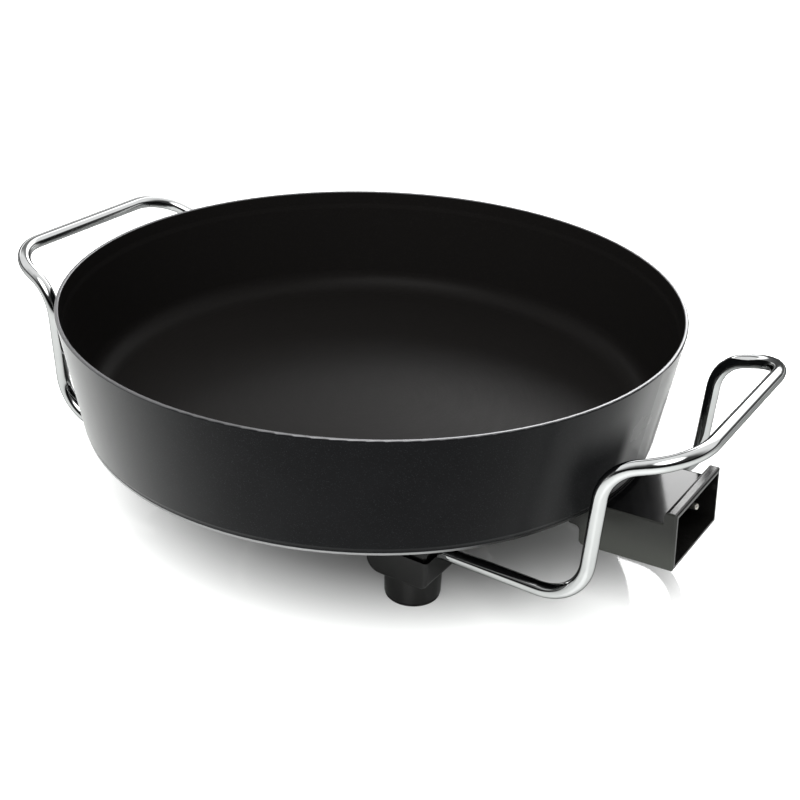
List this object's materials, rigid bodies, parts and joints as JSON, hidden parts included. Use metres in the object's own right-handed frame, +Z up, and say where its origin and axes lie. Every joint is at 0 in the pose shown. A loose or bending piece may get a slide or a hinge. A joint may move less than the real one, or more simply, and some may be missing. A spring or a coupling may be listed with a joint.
{
  "type": "electric skillet",
  "caption": "Round deep electric skillet with non-stick pan, two bent-wire handles, moulded feet and a plug-in thermostat socket.",
  "frame": {"origin": "on the floor below the centre of the pan", "axes": "+X towards the thermostat socket, along the line through both handles; +Y towards the back; +Z up"},
  "size_m": [0.459, 0.3598, 0.1344],
  "materials": {
    "pan_coating": "cast aluminium, satin charcoal coating outside and black non-stick inside",
    "bare_aluminium": "bare cast aluminium",
    "chrome": "polished chrome plate",
    "moulding": "black phenolic moulding, semi-gloss",
    "gloss_cover": "gloss black",
    "rubber": "matte black rubber",
    "steel": "plain steel",
    "ceramic": "unglazed ceramic",
    "plated_contact": "nickel-plated brass"
  },
  "bodies": {
    "root": {"pan_body": "pan_coating", "heating_element": "steel", "element_seals": "ceramic", "terminal_block": "moulding", "probe_sleeve": "steel", "socket_shroud": "moulding", "socket_cover": "gloss_cover", "base_screws": "steel", "probe_block": "bare_aluminium", "handle_right": "chrome", "handle_left": "chrome", "contact_pin_live": "plated_contact", "contact_pin_neutral": "plated_contact", "foot_screws": "steel", "foot_washers": "steel", "foot_front_right": "moulding", "spacer_front_right": "moulding", "foot_pad_front_right": "rubber", "foot_back_right": "moulding", "spacer_back_right": "moulding", "foot_pad_back_right": "rubber", "foot_front_left": "moulding", "spacer_front_left": "moulding", "foot_pad_front_left": "rubber", "foot_back_left": "moulding", "spacer_back_left": "moulding", "foot_pad_back_left": "rubber"}
  },
  "joints": []
}
